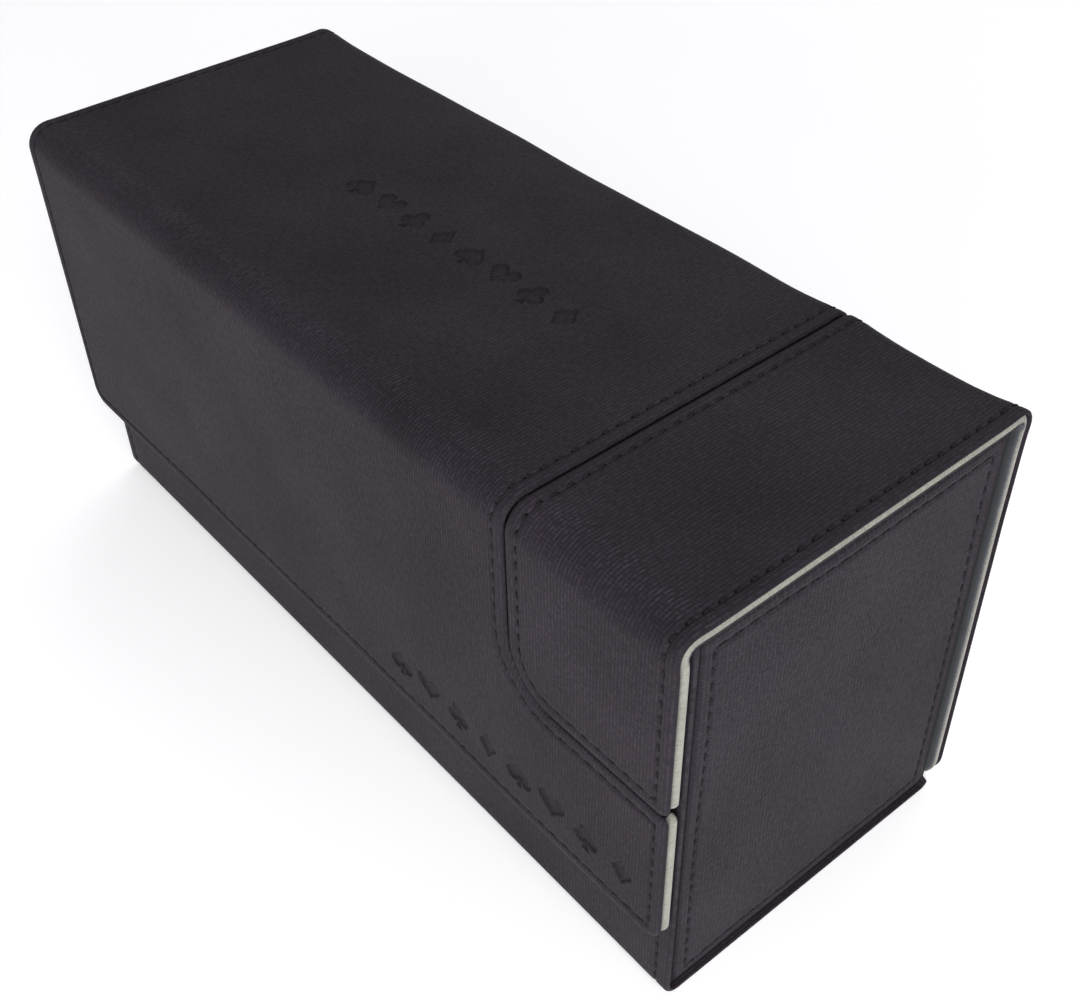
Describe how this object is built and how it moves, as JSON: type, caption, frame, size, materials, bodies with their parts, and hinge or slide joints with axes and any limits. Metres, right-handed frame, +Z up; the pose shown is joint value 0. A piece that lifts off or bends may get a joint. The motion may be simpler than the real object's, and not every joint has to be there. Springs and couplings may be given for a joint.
{
  "type": "card deck box",
  "caption": "Long lidded storage box for a row of upright sleeved cards, with a separate lidded well for dice; two stitched lids fold over the front and hold shut with magnets.",
  "frame": {"origin": "centre of the closed box's footprint, on the surface it stands on", "axes": "+X along the box towards the dice end, -Y towards the magnetic flaps, +Y towards the hinge folds, +Z up"},
  "size_m": [0.228, 0.091, 0.108],
  "materials": {
    "leatherette": "satin",
    "greyboard": "matte",
    "microfibre": "matte",
    "magnet": "polished",
    "divider_plastic": "matte"
  },
  "bodies": {
    "root": {"base_board": "greyboard", "front_board": "greyboard", "back_board": "greyboard", "far_end_board": "greyboard", "near_end_board": "greyboard", "partition_board": "greyboard", "front_cover": "leatherette", "base_cover": "leatherette", "back_cover": "leatherette", "far_end_cover": "leatherette", "near_end_cover": "leatherette", "card_well_lining": "microfibre", "dice_well_lining": "microfibre", "body_magnets": "magnet", "large_back_cover": "leatherette", "large_back_board": "greyboard", "large_back_lining": "microfibre", "small_back_cover": "leatherette", "small_back_board": "greyboard", "small_back_lining": "microfibre"},
    "large_lid": {"large_top_cover": "leatherette", "large_top_board": "greyboard", "large_top_lining": "microfibre", "large_back_fold": "leatherette", "large_front_fold": "leatherette"},
    "large_flap": {"large_flap_cover": "leatherette", "large_flap_board": "greyboard", "large_flap_lining": "microfibre", "large_flap_magnets": "magnet"},
    "small_lid": {"small_top_cover": "leatherette", "small_top_board": "greyboard", "small_top_lining": "microfibre", "small_back_fold": "leatherette", "small_front_fold": "leatherette"},
    "small_flap": {"small_flap_cover": "leatherette", "small_flap_board": "greyboard", "small_flap_lining": "microfibre", "small_flap_magnet": "magnet"},
    "divider_1": {"divider_1": "divider_plastic"},
    "divider_2": {"divider_2": "divider_plastic"}
  },
  "joints": [
    {"name": "large_lid_hinge", "type": "hinge", "parent": "root", "child": "large_lid", "pos_m": [-0.0217, 0.0439, 0.1064], "axis": [-1, 0, 0], "range_deg": [0, 175]},
    {"name": "large_flap_fold", "type": "hinge", "parent": "large_lid", "child": "large_flap", "pos_m": [-0.0217, -0.0439, 0.1064], "axis": [-1, 0, 0], "range_deg": [0, 90]},
    {"name": "small_lid_hinge", "type": "hinge", "parent": "root", "child": "small_lid", "pos_m": [0.0929, 0.0439, 0.1064], "axis": [-1, 0, 0], "range_deg": [0, 175]},
    {"name": "small_flap_fold", "type": "hinge", "parent": "small_lid", "child": "small_flap", "pos_m": [0.0929, -0.0439, 0.1064], "axis": [-1, 0, 0], "range_deg": [0, 90]},
    {"name": "divider_1_slide", "type": "slide", "parent": "root", "child": "divider_1", "axis": [1, 0, 0], "range_m": [-0.057, 0.026]},
    {"name": "divider_2_slide", "type": "slide", "parent": "root", "child": "divider_2", "axis": [1, 0, 0], "range_m": [-0.03, 0.056]}
  ]
}
